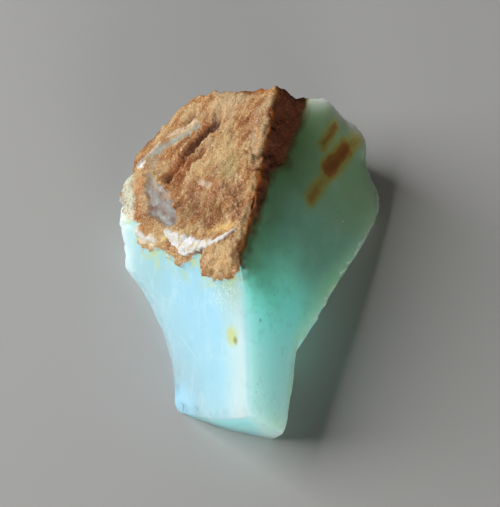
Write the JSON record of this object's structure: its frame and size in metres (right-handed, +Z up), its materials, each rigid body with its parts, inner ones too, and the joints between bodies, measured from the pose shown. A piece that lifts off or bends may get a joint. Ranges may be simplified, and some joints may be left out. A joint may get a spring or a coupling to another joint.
{
  "type": "rough blue opal",
  "caption": "Rough chunk of sea-blue common opal, a three-sided wedge with a rind of brown host rock over one shoulder.",
  "frame": {"origin": "middle of the stone's box at its flat underside", "axes": "+Z up from the flat underside, +Y along the stone away from its narrow end, +X towards the thin right edge"},
  "size_m": [0.026, 0.0332, 0.0145],
  "materials": {
    "opal_stone": "waxy and slightly translucent sea-blue opal, with a rough brown rind on one shoulder"
  },
  "bodies": {
    "root": {"opal": "opal_stone"}
  },
  "joints": []
}
